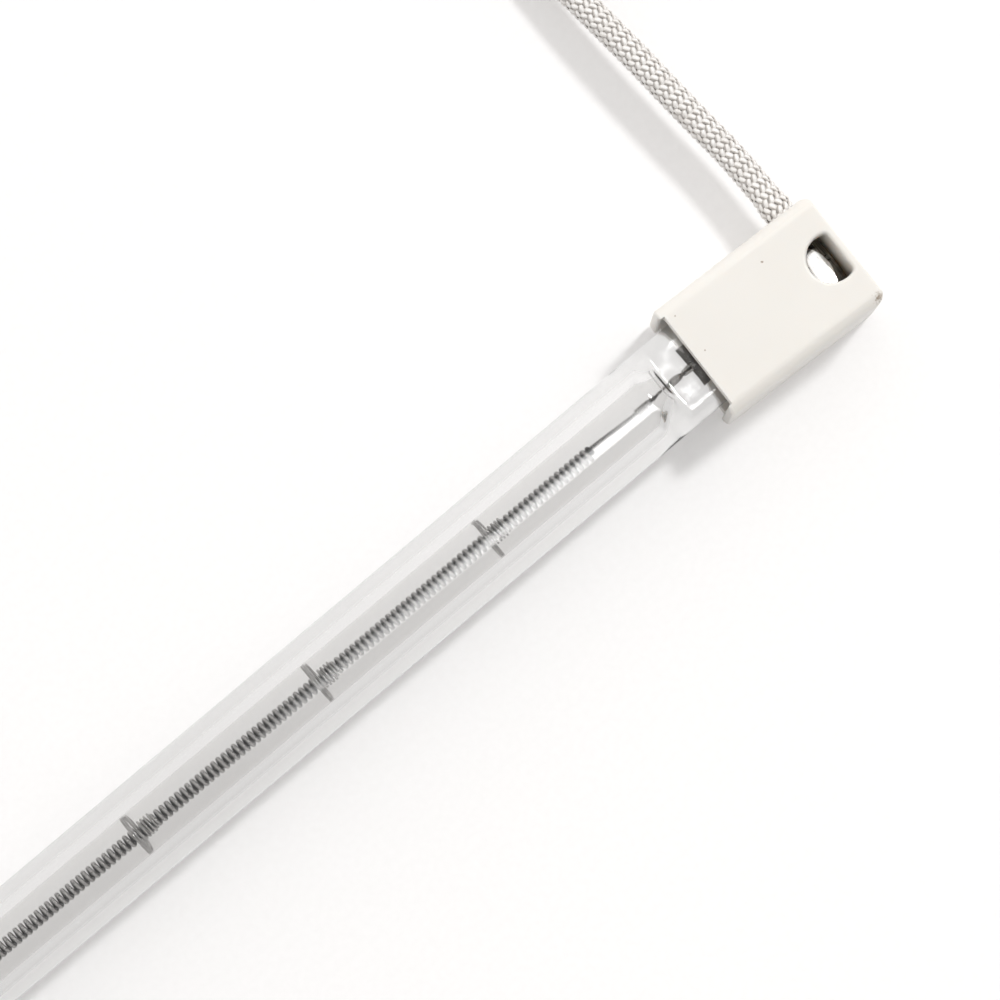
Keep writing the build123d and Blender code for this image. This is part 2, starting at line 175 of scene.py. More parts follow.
SPECKS = [
    (98.63, 3.33, 10.4, 0.13),
    (88.19, 4.84, 10.4, 0.1),
    (88.25, 0.19, 10.4, 0.09),
    (105.45, -6.95, 9.7, 0.6),
]

# Copies of the part's own shapes
MERGE_DISTANCE = 0.0005
FLAT_ANGLE = math.radians(0.5)
SHARP_ANGLE = math.radians(40)
BEVEL_ANGLE = math.radians(50)
BEVEL_SEGMENTS = 3

# Braided lead: its free run lies a little lower than the part's own route
LEAD_DIAMETER = 3.0
LEAD_START_V = 4.6
LEAD_ROUTE = [
    (104.6, 12.0, 4.9),
    (104.0, 21.0, 4.7),
    (103.6, 30.0, 4.6),
    (103.0, 38.5, 3.9),
    (102.6, 46.0, 2.8),
    (102.2, 52.5, 1.9),
]
LEAD_COIL_CENTRE = (118.2, 59.0)
LEAD_COIL_RADIUS = 16.0
LEAD_COIL_POINTS = 16
LEAD_COIL_SWEEP = math.radians(690)
LAYER_RISES = [(math.radians(240), math.radians(318), 3.0), (math.radians(600), math.radians(678), 2.85)]
YARNS_EACH_WAY = 12
BRAID_LAY = 17.0
BRAID_RADIUS = 1.33
BRAID_RISE = 0.14
YARN_WIDTH = 0.67
YARN_THICKNESS = 0.28
FREE_LENGTH = 60.0
FREE_STEP = 0.2
COIL_STEP = 0.355
BRAID_CORE_RADIUS = 1.23
BRAID_FLARE = 0.13
FLARE_AT = 3.4
FLARE_REACH = 1.0

# Floor: how far it is lifted towards white, seen directly and through glass, and how white it glows in glass,
# from one place along the tube to another, on either side and under the pressed ends: painted light and shade
# seen through the glass
FLOOR_HALF = 3.0
FLOOR_LIFT = 0.25
FLOOR_LIFT_IN_GLASS = 0.93
FLOOR_IN_GLASS = (0.8, 0.94)
FLOOR_IN_GLASS_AT = (20.0, 80.0)
FLOOR_IN_GLASS_SIDES = (0.88, 1.0)
FLOOR_SIDES_AT = (-2.0, 1.0)
FLOOR_IN_PRESSED_GLASS = 0.86
PRESSED_FROM = FLAT_START - 2.5
PRESSED_TO = FLAT_START + 1.0

# Room: its light at the horizon and overhead, its share on either side, how much brighter it is mirrored,
# and how white it is, seen directly and through glass
ROOM_LIGHT = (0.7, 0.74)
ROOM_SIDES = (0.5, 1.5)
ROOM_MIRRORED = 1.35
ROOM_SEEN = 0.95
ROOM_IN_GLASS = 0.72

# Lamps: where each is, what it is aimed at, its width and length, and its power
KEY_LAMP = ((0.78, 0.09, 0.9), (0.06, 0, 0), 0.2, 0.2, 6.4)
STREAK_LAMP = ((0.31, -0.24, 1.0), (0.25, -0.23, 0), 0.56, 0.7, 11.0)

# Camera: focal length on a 36 mm sensor, place and angles
LENS = 115.2
SENSOR = 36.0
CAMERA_PLACE = Vector((43.93, -19.76, 335.37)) * MM
CAMERA_ELEVATION = math.radians(85)
CAMERA_AZIMUTH = math.radians(40.193)


def smoothstep(low, high, value):
    share = min(1.0, max(0.0, (value - low) / (high - low)))
    return share * share * (3 - 2 * share)


def cap_point(u, v, z=AXIS_Z):
    """A point in the right-hand cap's own frame, u from its mouth and v across, as a point of the part."""
    return Vector((CAP_MOUTH_X, CAP_SHIFT, z)) + Matrix.Rotation(CAP_SKEW, 3, "Z") @ Vector((u, v, 0))


# Node trees

def node(tree, kind, inputs=None, **settings):
    """A new node with its settings, and with its inputs set to values or linked to sockets."""
    made = tree.nodes.new(kind)
    for name, value in settings.items():
        setattr(made, name, value)
    for key, value in (inputs or {}).items():
        if isinstance(value, bpy.types.NodeSocket):
            tree.links.new(value, made.inputs[key])
        else:
            made.inputs[key].default_value = value
    return made


def maths(tree, operation, *values):
    kind = "ShaderNodeMath"
    return node(tree, kind, dict(enumerate(values)), operation=operation).outputs[0]


def vector_maths(tree, operation, *values, scale=None):
    inputs = dict(enumerate(values))
    if scale is not None:
        inputs["Scale"] = scale
    return node(tree, "ShaderNodeVectorMath", inputs, operation=operation).outputs[0]


def geometry_tree(name, sockets):
    """A geometry tree with these named inputs, its group input and its group output."""
    tree = bpy.data.node_groups.new(name, "GeometryNodeTree")
    for label, kind in sockets.items():
        tree.interface.new_socket(label, in_out="INPUT", socket_type="NodeSocket" + kind)
    tree.interface.new_socket("Geometry", in_out="OUTPUT", socket_type="NodeSocketGeometry")
    return tree, tree.nodes.new("NodeGroupInput").outputs, tree.nodes.new("NodeGroupOutput").inputs


def grown_mesh(tree, values, base=None):
    """The plain mesh that a geometry tree gives with these inputs."""
    host = bpy.data.objects.new("host", base or bpy.data.meshes.new("host"))
    scene.collection.objects.link(host)
    modifier = host.modifiers.new("tree", "NODES")
    modifier.node_group = tree
    for item in tree.interface.items_tree:
        if item.in_out == "INPUT" and item.name in values:
            modifier[item.identifier] = values[item.name]
    graph = bpy.context.evaluated_depsgraph_get()
    mesh = bpy.data.meshes.new_from_object(
        host.evaluated_get(graph), preserve_all_data_layers=True, depsgraph=graph
    )
    bpy.data.objects.remove(host)
    return mesh


def wound_wire_tree():
    """A round wire wound about the tube's axis, from one radius to another."""
    tree, given, out = geometry_tree("wound_wire", {
        "Start X": "Float", "Start Angle": "Float", "Turns": "Float", "Pitch": "Float",
        "Start Radius": "Float", "End Radius": "Float", "Wire": "Float",
        "Steps": "Int", "Sides": "Int", "Material": "Material",
    })
    last = maths(tree, "ROUND", maths(tree, "MULTIPLY", given["Turns"], given["Steps"]))
    line = node(tree, "GeometryNodeMeshLine", {"Count": maths(tree, "ADD", last, 1.0)})
    curve = node(tree, "GeometryNodeMeshToCurve", {"Mesh": line.outputs[0]}).outputs[0]
    index = node(tree, "GeometryNodeInputIndex").outputs[0]
    turn = maths(tree, "DIVIDE", index, given["Steps"])
    angle = maths(tree, "MULTIPLY_ADD", turn, math.tau, given["Start Angle"])
    growth = maths(tree, "SUBTRACT", given["End Radius"], given["Start Radius"])
    radius = maths(tree, "MULTIPLY_ADD", growth, maths(tree, "DIVIDE", index, last), given["Start Radius"])
    place = node(tree, "ShaderNodeCombineXYZ", {
        "X": maths(tree, "MULTIPLY_ADD", turn, given["Pitch"], given["Start X"]),
        "Y": maths(tree, "MULTIPLY", radius, maths(tree, "COSINE", angle)),
        "Z": maths(tree, "MULTIPLY_ADD", radius, maths(tree, "SINE", angle), AXIS_Z),
    }).outputs[0]
    curve = node(tree, "GeometryNodeSetPosition", {"Geometry": curve, "Position": place}).outputs[0]
    section = node(tree, "GeometryNodeCurvePrimitiveCircle", {
        "Resolution": given["Sides"], "Radius": maths(tree, "MULTIPLY", given["Wire"], 0.5),
    })
    wire = node(tree, "GeometryNodeCurveToMesh", {
        "Curve": curve, "Profile Curve": section.outputs[0], "Fill Caps": True,
    }).outputs[0]
    wire = node(tree, "GeometryNodeRealizeInstances", {"Geometry": wire}).outputs[0]
    wire = node(tree, "GeometryNodeSetMaterial", {"Geometry": wire, "Material": given["Material"]})
    tree.links.new(wire.outputs[0], out[0])
    return tree


def braid_tree():
    """Yarns wound both ways round a line, each over and under the others by turns, on a plain core."""
    tree, given, out = geometry_tree("braid", {
        "Line": "Geometry", "Yarns": "Int", "Lay": "Float", "Radius": "Float", "Rise": "Float",
        "Width": "Float", "Thickness": "Float", "Core Radius": "Float",
        "Flare": "Float", "Flare At": "Float", "Flare Reach": "Float",
        "Yarn Material": "Material", "Core Material": "Material",
    })
    line = node(tree, "GeometryNodeMeshToCurve", {"Mesh": given["Line"]}).outputs[0]
    copies = node(tree, "GeometryNodeDuplicateElements", {
        "Geometry": line, "Amount": maths(tree, "MULTIPLY", given["Yarns"], 2.0),
    }, domain="SPLINE")
    number = copies.outputs["Duplicate Index"]
    is_first = maths(tree, "LESS_THAN", number, given["Yarns"])
    way = maths(tree, "MULTIPLY_ADD", is_first, 2.0, -1.0)
    place = maths(tree, "MODULO", number, given["Yarns"])
    along = node(tree, "GeometryNodeSplineParameter").outputs["Length"]
    wound = maths(tree, "MULTIPLY", way, maths(tree, "DIVIDE", along, given["Lay"]))
    share = maths(tree, "DIVIDE", place, given["Yarns"])
    angle = maths(tree, "MULTIPLY", maths(tree, "ADD", share, wound), math.tau)
    phase = maths(tree, "MULTIPLY", maths(tree, "MULTIPLY", wound, given["Yarns"]), math.tau)
    over = maths(tree, "MULTIPLY", way, maths(tree, "COSINE", phase))
    lift = maths(tree, "MULTIPLY", over, given["Rise"])
    away = maths(tree, "DIVIDE", maths(tree, "SUBTRACT", along, given["Flare At"]), given["Flare Reach"])
    bulge = maths(tree, "EXPONENT", maths(tree, "MULTIPLY", maths(tree, "MULTIPLY", away, away), -1.0))
    flare = maths(tree, "MULTIPLY_ADD", bulge, given["Flare"], 1.0)
    radius = maths(tree, "MULTIPLY", maths(tree, "ADD", given["Radius"], lift), flare)
    normal = node(tree, "GeometryNodeInputNormal").outputs[0]
    tangent = node(tree, "GeometryNodeInputTangent").outputs[0]
    side = vector_maths(tree, "CROSS_PRODUCT", tangent, normal)
    outwards = vector_maths(
        tree, "ADD",
        vector_maths(tree, "SCALE", normal, scale=maths(tree, "COSINE", angle)),
        vector_maths(tree, "SCALE", side, scale=maths(tree, "SINE", angle)),
    )
    yarns = copies.outputs["Geometry"]
    for label, kind, value in (
        ("outwards", "FLOAT_VECTOR", outwards), ("reach", "FLOAT", radius), ("yarn_over", "FLOAT", over),
    ):
        yarns = node(tree, "GeometryNodeStoreNamedAttribute", {
            "Geometry": yarns, "Name": label, "Value": value,
        }, data_type=kind, domain="POINT").outputs[0]
    stored, reach = (
        node(tree, "GeometryNodeInputNamedAttribute", {"Name": label}, data_type=kind).outputs[0]
        for label, kind in (("outwards", "FLOAT_VECTOR"), ("reach", "FLOAT"))
    )
    offset = vector_maths(tree, "SCALE", stored, scale=reach)
    yarns = node(tree, "GeometryNodeSetPosition", {"Geometry": yarns, "Offset": offset}).outputs[0]
    turned = node(tree, "GeometryNodeSetCurveNormal", {"Curve": yarns, "Normal": stored}, mode="FREE")
    yarns = node(tree, "GeometryNodeStoreNamedAttribute", {
        "Geometry": turned.outputs[0], "Name": "yarn_along", "Value": along,
    }, data_type="FLOAT", domain="POINT").outputs[0]
    section = node(tree, "GeometryNodeCurvePrimitiveCircle", {"Resolution": 4, "Radius": 0.5}).outputs[0]
    section = node(tree, "GeometryNodeStoreNamedAttribute", {
        "Geometry": section, "Name": "yarn_around",
        "Value": node(tree, "GeometryNodeSplineParameter").outputs["Factor"],
    }, data_type="FLOAT", domain="POINT").outputs[0]
    flattened = node(tree, "ShaderNodeCombineXYZ", {"X": given["Thickness"], "Y": given["Width"], "Z": 1.0})
    section = node(tree, "GeometryNodeTransform", {
        "Geometry": section, "Scale": flattened.outputs[0],
    }).outputs[0]
    core_section = node(tree, "GeometryNodeCurvePrimitiveCircle", {
        "Resolution": 14, "Radius": given["Core Radius"],
    }).outputs[0]
    both = node(tree, "GeometryNodeJoinGeometry")
    for curve, profile, label in ((line, core_section, "Core Material"), (yarns, section, "Yarn Material")):
        swept = node(tree, "GeometryNodeCurveToMesh", {
            "Curve": curve, "Profile Curve": profile, "Fill Caps": True,
        }).outputs[0]
        swept = node(tree, "GeometryNodeSetMaterial", {"Geometry": swept, "Material": given[label]})
        tree.links.new(swept.outputs[0], both.inputs[0])
    whole = node(tree, "GeometryNodeRealizeInstances", {"Geometry": both.outputs[0]})
    tree.links.new(whole.outputs[0], out[0])
    return tree


# Materials

def material(name, **constants):
    """A new material with a Principled shader, its constant sockets set, and its tree."""
    made = bpy.data.materials.new(name)
    made.use_nodes = True
    tree = made.node_tree
    shader = tree.nodes["Principled BSDF"]
    for key, value in constants.items():
        shader.inputs[key.replace("_", " ")].default_value = value
    return made, tree, shader


def object_place(tree, scale=(1, 1, 1), turn=(0, 0, 0)):
    """Object coordinates in millimetres, scaled and turned."""
    place = node(tree, "ShaderNodeTexCoord").outputs["Object"]
    inputs = {"Vector": place, "Scale": [s / MM for s in scale], "Rotation": turn}
    return node(tree, "ShaderNodeMapping", inputs).outputs[0]


def noise_at(tree, place, scale, detail=3.0, roughness=0.5):
    inputs = {"Vector": place, "Scale": scale, "Detail": detail, "Roughness": roughness}
    return node(tree, "ShaderNodeTexNoise", inputs).outputs["Fac"]


def spread(tree, value, low, high, to_low, to_high):
    inputs = {0: value, 1: low, 2: high, 3: to_low, 4: to_high}
    return node(tree, "ShaderNodeMapRange", inputs).outputs[0]


def shades(tree, value, *stops):
    """A colour that runs through these (place, colour) stops."""
    ramp = node(tree, "ShaderNodeValToRGB", {"Fac": value})
    points = ramp.color_ramp.elements
    while len(points) < len(stops):
        points.new(0.5)
    for point, (place, colour) in zip(points, stops):
        point.position = place
        point.color = (*colour, 1.0)
    return ramp.outputs[0]


def bump(tree, shader, height, strength, distance):
    inputs = {"Height": height, "Strength": strength, "Distance": distance * MM}
    tree.links.new(node(tree, "ShaderNodeBump", inputs).outputs[0], shader.inputs["Normal"])


def quartz(name, tint, pressed):
    """Clear fused quartz with faint drawn lines along it, less smooth where the ends were pressed."""
    made, tree, shader = material(name, Transmission_Weight=1.0, IOR=1.458)
    drawn = noise_at(tree, object_place(tree, (0.03, 1.6, 1.6)), 1.0, 4.0)
    grain = noise_at(tree, object_place(tree), 2.4, 2.0)
    pale = [0.98 * part for part in tint]
    tree.links.new(shades(tree, grain, (0.3, pale), (0.7, tint)), shader.inputs["Base Color"])
    parts = node(tree, "ShaderNodeSeparateXYZ", {0: object_place(tree)}).outputs
    from_middle = maths(tree, "ABSOLUTE", parts["X"])
    satin = spread(tree, from_middle, SATIN_FROM, SATIN_TO, 0.0, pressed)
    tree.links.new(satin, shader.inputs["Roughness"])
    speckle = noise_at(tree, object_place(tree), 3.2, 4.0, 0.7)
    height = maths(tree, "MULTIPLY_ADD", speckle, maths(tree, "MULTIPLY", satin, SPECKLE), drawn)
    bump(tree, shader, height, 0.25, 0.03)
    return made


def wire_metal(name, dark, light, roughness):
    """Drawn wire, its tone a little uneven along its length."""
    made, tree, shader = material(name, Metallic=1.0)
    uneven = noise_at(tree, object_place(tree), 1.1, 4.0)
    fine = noise_at(tree, object_place(tree), 9.0, 2.0)
    tree.links.new(shades(tree, uneven, (0.3, dark), (0.7, light)), shader.inputs["Base Color"])
    worn = spread(tree, fine, 0.3, 0.7, roughness * 0.8, roughness * 1.25)
    tree.links.new(worn, shader.inputs["Roughness"])
    bump(tree, shader, fine, 0.2, 0.01)
    return made


def coil_metal_painted_shading():
    """The coil's wire: painted highlight on its outer side, away from the axis, and painted shade on its inner
    side, between its turns.
    """
    made, tree, shader = material("coil_wire_painted_shading", Metallic=1.0)
    parts = node(tree, "ShaderNodeSeparateXYZ", {0: object_place(tree)}).outputs
    rise = maths(tree, "SUBTRACT", parts["Z"], AXIS_Z)
    squares = [maths(tree, "MULTIPLY", part, part) for part in (parts["Y"], rise)]
    reach = maths(tree, "SQRT", maths(tree, "ADD", *squares))
    # Painted shading: the wire runs from near black close to the axis to light on its outer side, with a little
    # random unevenness.
    low = COIL_RADIUS + 0.05 * COIL_WIRE
    share = spread(tree, reach, low, COIL_RADIUS + 0.5 * COIL_WIRE, 0.0, 1.0)
    fine = noise_at(tree, object_place(tree), 9.0, 2.0)
    uneven = maths(tree, "MULTIPLY_ADD", fine, 0.3, maths(tree, "ADD", share, -0.15))
    stops = (0.1, (0.03, 0.03, 0.03)), (0.55, (0.2, 0.195, 0.19)), (0.9, (0.5, 0.49, 0.48))
    colour = shades(tree, uneven, *stops)
    tree.links.new(colour, shader.inputs["Base Color"])
    tree.links.new(spread(tree, fine, 0.3, 0.7, 0.24, 0.34), shader.inputs["Roughness"])
    bump(tree, shader, fine, 0.2, 0.01)
    return made


def foil_metal():
    """Rolled foil, dark, with brighter patches where it was etched."""
    made, tree, shader = material("molybdenum_foil", Metallic=1.0)
    patches = noise_at(tree, object_place(tree, (1, 0.6, 1)), 0.9, 4.0)
    rolled = noise_at(tree, object_place(tree, (0.2, 5, 5)), 1.0, 3.0)
    stops = (0.45, (0.11, 0.105, 0.1)), (0.62, (0.2, 0.19, 0.18)), (0.72, (0.5, 0.49, 0.47))
    colour = shades(tree, patches, *stops)
    tree.links.new(colour, shader.inputs["Base Color"])
    tree.links.new(spread(tree, rolled, 0.3, 0.7, 0.35, 0.55), shader.inputs["Roughness"])
    bump(tree, shader, rolled, 0.3, 0.01)
    return made


def mixed(tree, share, first, second):
    inputs = {"Factor": share, 6: first, 7: second}
    return node(tree, "ShaderNodeMix", inputs, data_type="RGBA").outputs[2]


def cap_place(tree, place):
    """A point in its own cap's frame, and its height over the axis; the caps are turned copies."""
    parts = node(tree, "ShaderNodeSeparateXYZ", {0: place}).outputs
    end = maths(tree, "SIGN", parts["X"])
    along = maths(tree, "MULTIPLY_ADD", parts["X"], end, -CAP_MOUTH_X)
    across = maths(tree, "MULTIPLY_ADD", parts["Y"], end, -CAP_SHIFT)
    u = maths(tree, "MULTIPLY_ADD", across, math.sin(CAP_SKEW), along)
    v = maths(tree, "MULTIPLY_ADD", along, -math.sin(CAP_SKEW), across)
    return u, v, maths(tree, "SUBTRACT", parts["Z"], AXIS_Z)


def plated_metal():
    """Bright plate with fine scratches along the sleeve, painted dark on the side towards the cap's end as a
    painted dark reflection.
    """
    made, tree, shader = material("bright_plate", Metallic=1.0)
    u, v, _ = cap_place(tree, object_place(tree))
    # Painted dark reflection: past this bent line, on the side towards the cap's end, the plate is painted
    # dark.
    past = maths(tree, "SUBTRACT", u, DARK_REFLECTION_U)
    edge = maths(tree, "MULTIPLY_ADD", maths(tree, "MULTIPLY", v, v), DARK_REFLECTION_BEND, past)
    tint = spread(tree, edge, -0.03, 0.05, 0.0, 1.0)
    scratches = noise_at(tree, object_place(tree, (7, 0.35, 7)), 1.0, 5.0, 0.7)
    smears = noise_at(tree, object_place(tree, (2, 0.5, 2)), 1.0, 3.0)
    colour = shades(tree, scratches, (0.34, (0.3, 0.29, 0.28)), (0.42, (0.95, 0.945, 0.935)))
    stops = (0.35, (0.07, 0.065, 0.06)), (0.55, (0.2, 0.19, 0.175)), (0.7, (0.45, 0.43, 0.41))
    dark_reflection_colour = shades(tree, scratches, *stops)
    tree.links.new(mixed(tree, tint, colour, dark_reflection_colour), shader.inputs["Base Color"])
    tree.links.new(spread(tree, smears, 0.35, 0.7, 0.05, 0.16), shader.inputs["Roughness"])
    bump(tree, shader, scratches, 0.3, 0.02)
    return made


def hollow_painted_shade_mask(tree, place):
    """One on the walls of a cap's hollow, which are painted dark as painted shade, nothing outside."""
    u, v, rise = cap_place(tree, place)
    inside = spread(tree, u, *CAVITY_START, 0.0, 1.0)
    for away, limit in (
        (maths(tree, "ABSOLUTE", rise), CAVITY_HALF_HEIGHT),
        (maths(tree, "ABSOLUTE", v), CAVITY_HALF_WIDTH),
        (u, CAVITY_END),
    ):
        inside = maths(tree, "MULTIPLY", inside, maths(tree, "LESS_THAN", away, limit))
    return inside


def glazed_ceramic():
    """Warm white glaze, a little uneven, with a few dark specks, a stain at one corner and painted shade inside
    its hollow.
    """
    made, tree, shader = material(
        "glazed_ceramic", Coat_Weight=0.1, Coat_Roughness=0.2, Specular_IOR_Level=0.45,
        Subsurface_Weight=0.4, Subsurface_Scale=1.0 * MM, Subsurface_Radius=(1.0, 0.9, 0.8),
    )
    place = object_place(tree)
    clouds = noise_at(tree, place, 0.12, 2.0)
    glaze = shades(tree, clouds, (0.1, (0.785, 0.762, 0.72)), (0.9, (0.81, 0.788, 0.748)))
    # Painted shade: the cap's hollow is painted dark.
    colour = mixed(tree, hollow_painted_shade_mask(tree, place), glaze, (0.2, 0.19, 0.18, 1))
    uneven = noise_at(tree, place, 4.0, 2.0)
    for *middle, radius in SPECKS:
        away = node(tree, "ShaderNodeVectorMath", {0: place, 1: middle}, operation="DISTANCE")
        edge = maths(tree, "MULTIPLY", uneven, 2 * radius)
        away = maths(tree, "SUBTRACT", away.outputs["Value"], edge)
        speck = spread(tree, away, -0.4 * radius, 0.2 * radius, 0.9, 0.0)
        colour = mixed(tree, speck, colour, (0.32, 0.25, 0.19, 1))
    tree.links.new(colour, shader.inputs["Base Color"])
    tree.links.new(spread(tree, clouds, 0.1, 0.9, 0.38, 0.46), shader.inputs["Roughness"])
    bump(tree, shader, noise_at(tree, place, 0.8, 2.0), 0.05, 0.03)
    return made


def cement_paste():
    made, tree, shader = material("cement", Specular_IOR_Level=0.2)
    lumps = noise_at(tree, object_place(tree), 1.8, 6.0, 0.65)
    colour = shades(tree, lumps, (0.35, (0.58, 0.55, 0.5)), (0.65, (0.74, 0.71, 0.66)))
    tree.links.new(colour, shader.inputs["Base Color"])
    tree.links.new(spread(tree, lumps, 0.3, 0.7, 0.8, 0.95), shader.inputs["Roughness"])
    bump(tree, shader, lumps, 0.8, 0.15)
    return made


def glass_yarn():
    """Glass-fibre yarn: fine fibres along it, white and silky, greyed by random soiling and by painted shade
    where it passes under others and on its side towards the core.
    """
    made, tree, shader = material(
        "glass_yarn", Sheen_Weight=0.25, Sheen_Roughness=0.4, Specular_IOR_Level=0.6,
    )
    around = node(tree, "ShaderNodeAttribute", attribute_name="yarn_around").outputs["Fac"]
    along = node(tree, "ShaderNodeAttribute", attribute_name="yarn_along").outputs["Fac"]
    fibre_place = node(tree, "ShaderNodeCombineXYZ", {
        "X": maths(tree, "MULTIPLY", around, 30.0), "Y": maths(tree, "MULTIPLY", along, 0.35),
    }).outputs[0]
    fibres = noise_at(tree, fibre_place, 1.0, 3.0, 0.6)
    soil = noise_at(tree, object_place(tree), 0.5, 3.0)
    colour = shades(tree, fibres, (0.3, (0.8, 0.775, 0.745)), (0.6, (0.96, 0.945, 0.925)))
    # Painted shade: greyer where the yarn passes under the others and on the side of its section that faces the
    # core; random soiling greys it as well.
    over = node(tree, "ShaderNodeAttribute", attribute_name="yarn_over").outputs["Fac"]
    outer = maths(tree, "ABSOLUTE", maths(tree, "MULTIPLY_ADD", around, 2.0, -1.0))
    under = spread(tree, over, -0.7, 0.4, 1.0, 0.0)
    painted_crossing_shade = maths(tree, "MAXIMUM", under, spread(tree, outer, 0.3, 0.75, 0.7, 0.0))
    soil_and_painted_shade = maths(tree, "MAXIMUM", spread(tree, soil, 0.5, 0.8, 0.0, 0.5), painted_crossing_shade)
    tree.links.new(mixed(tree, soil_and_painted_shade, colour, (0.55, 0.5, 0.455, 1)), shader.inputs["Base Color"])
    tree.links.new(spread(tree, fibres, 0.3, 0.7, 0.5, 0.36), shader.inputs["Roughness"])
    bump(tree, shader, fibres, 0.6, 0.05)
    return made


def lead_core():
    made, tree, shader = material("lead_core", Roughness=0.8, Specular_IOR_Level=0.2)
    grain = noise_at(tree, object_place(tree), 2.0, 4.0)
    colour = shades(tree, grain, (0.3, (0.3, 0.28, 0.26)), (0.7, (0.42, 0.4, 0.37)))
    tree.links.new(colour, shader.inputs["Base Color"])
    return made


def strand_metal():
    """The conductor's plated strands, twisted round each other."""
    made, tree, shader = material("plated_strands", Metallic=1.0)
    twist = node(tree, "ShaderNodeTexWave", {
        "Vector": object_place(tree, turn=(0, 0, math.radians(35))), "Scale": 1.6, "Distortion": 0.6,
    })
    colour = shades(tree, twist.outputs["Fac"], (0.1, (0.4, 0.39, 0.37)), (0.6, (0.72, 0.71, 0.68)))
    tree.links.new(colour, shader.inputs["Base Color"])
    tree.links.new(spread(tree, twist.outputs["Fac"], 0, 1, 0.4, 0.2), shader.inputs["Roughness"])
    bump(tree, shader, twist.outputs["Fac"], 0.5, 0.08)
    return made


def soft_band():
    made, tree, shader = material("soft_band", Specular_IOR_Level=0.4)
    ribs = noise_at(tree, object_place(tree, (1, 1, 3)), 1.5, 3.0)
    colour = shades(tree, ribs, (0.35, (0.8, 0.8, 0.78)), (0.65, (0.88, 0.88, 0.87)))
    tree.links.new(colour, shader.inputs["Base Color"])
    tree.links.new(spread(tree, ribs, 0.3, 0.7, 0.45, 0.6), shader.inputs["Roughness"])
    bump(tree, shader, ribs, 0.2, 0.05)
    return made


# Meshes

def finished(name, mesh, slot, *nodes):
    """A finished piece in metres, on the part's one body, that stands for these nodes."""
    mesh.transform(Matrix.Scale(MM, 4))
    mesh.shade_smooth()
    made = bpy.data.objects.new(name, mesh)
    scene.collection.objects.link(made)
    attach(made, BODY)
    if nodes:
        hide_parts(*nodes)
    return made


def mesh_of(bm, *materials):
    mesh = bpy.data.meshes.new("shape")
    bm.to_mesh(mesh)
    bm.free()
    for made in materials:
        mesh.materials.append(made)
    return mesh


def joined(meshes):
    """One mesh of several, with each of their materials once."""
    bm = bmesh.new()
    metals = []
    for mesh in meshes:
        first = len(bm.faces)
        bm.from_mesh(mesh)
        metals += [made for made in mesh.materials if made not in metals]
        places = [metals.index(made) for made in mesh.materials]
        bm.faces.ensure_lookup_table()
        for face in bm.faces[first:]:
            face.material_index = places[face.material_index]
    return mesh_of(bm, *metals)


def loft(bm, rings, inwards=False, tunnel=False):
    """Faces between rings, closed at both ends; inwards for a hollow, and a tunnel ends at its start."""
    made = [[bm.verts.new(point) for point in ring] for ring in rings]
    faces = []
    for near, far in zip(made, made[1:] + made[:1] if tunnel else made[1:]):
        for i in range(len(near)):
            j = (i + 1) % len(near)
            faces.append(bm.faces.new((near[i], near[j], far[j], far[i])))
    if not tunnel:
        faces.append(bm.faces.new(made[0][::-1]))
        faces.append(bm.faces.new(made[-1]))
    if inwards:
        bmesh.ops.reverse_faces(bm, faces=faces)


def bore_ring(x, radius):
    """A ring of the bore, which narrows on one side towards each end."""
    narrowed = BORE_TAPER * smoothstep(BORE_TAPER_START, BORE_END, abs(x))
    centre = Vector((x, 0, AXIS_Z))
    towards = -math.copysign(1 / BORE_RADIUS, x)
    return [
        centre + (point - centre) * (1 - narrowed * max(0.0, towards * point.y))
        for point in around_axis(x, radius, GLASS_SIDES)
    ]


def around_axis(x, radius, sides):
    return [
        Vector((x, radius * math.cos(math.tau * k / sides), AXIS_Z + radius * math.sin(math.tau * k / sides)))
        for k in range(sides)
    ]


def flat_height(x, y, on_top):
    """Half the height of the pressed glass at a point, or more than the radius where it is still round."""
    reach = TUBE_RADIUS + FLAT_BLEND
    pressed = smoothstep(FLAT_START - SHOULDER_LENGTH[on_top], FLAT_START, abs(x))
    height = reach + (FLAT_HALF - reach) * pressed
    mark = smoothstep(MARK_START, MARK_START + MARK_BLEND, abs(x))
    mark *= 1 - smoothstep(MARK_HALF_WIDTH, MARK_HALF_WIDTH + MARK_BLEND, abs(y))
    return height - MARK_DEPTH * mark


def tip_rise(x, angle):
    """How far the exhaust tip stands out of the tube's side."""
    away = math.hypot(x - TIP_X, TUBE_RADIUS * math.remainder(angle - math.pi, math.tau))
    return TIP_HEIGHT * (1 - smoothstep(0.12 * TIP_RADIUS, TIP_RADIUS, away))


def glass_point(x, angle):
    """A point on the outside of the glass: round, pressed flat at the ends, with a few wrinkles there."""
    wrinkled = math.exp(-(((abs(x) - WRINKLE_MIDDLE) / WRINKLE_REACH) ** 2))
    radius = TUBE_RADIUS + tip_rise(x, angle)
    y = radius * math.cos(angle)
    rise = radius * math.sin(angle)
    height = flat_height(x, y, rise > 0)
    clash = max(0.0, FLAT_BLEND - abs(abs(rise) - height))
    z = min(abs(rise), height) - clash * clash / (4 * FLAT_BLEND)
    spot = Vector((x * WRINKLE_SCALE[0], y * WRINKLE_SCALE[1], math.copysign(WRINKLE_SEED, rise)))
    z += WRINKLE_HEIGHT * wrinkled * noise.noise(spot) * min(1.0, abs(rise))
    return Vector((x, y, AXIS_Z + math.copysign(z, rise)))


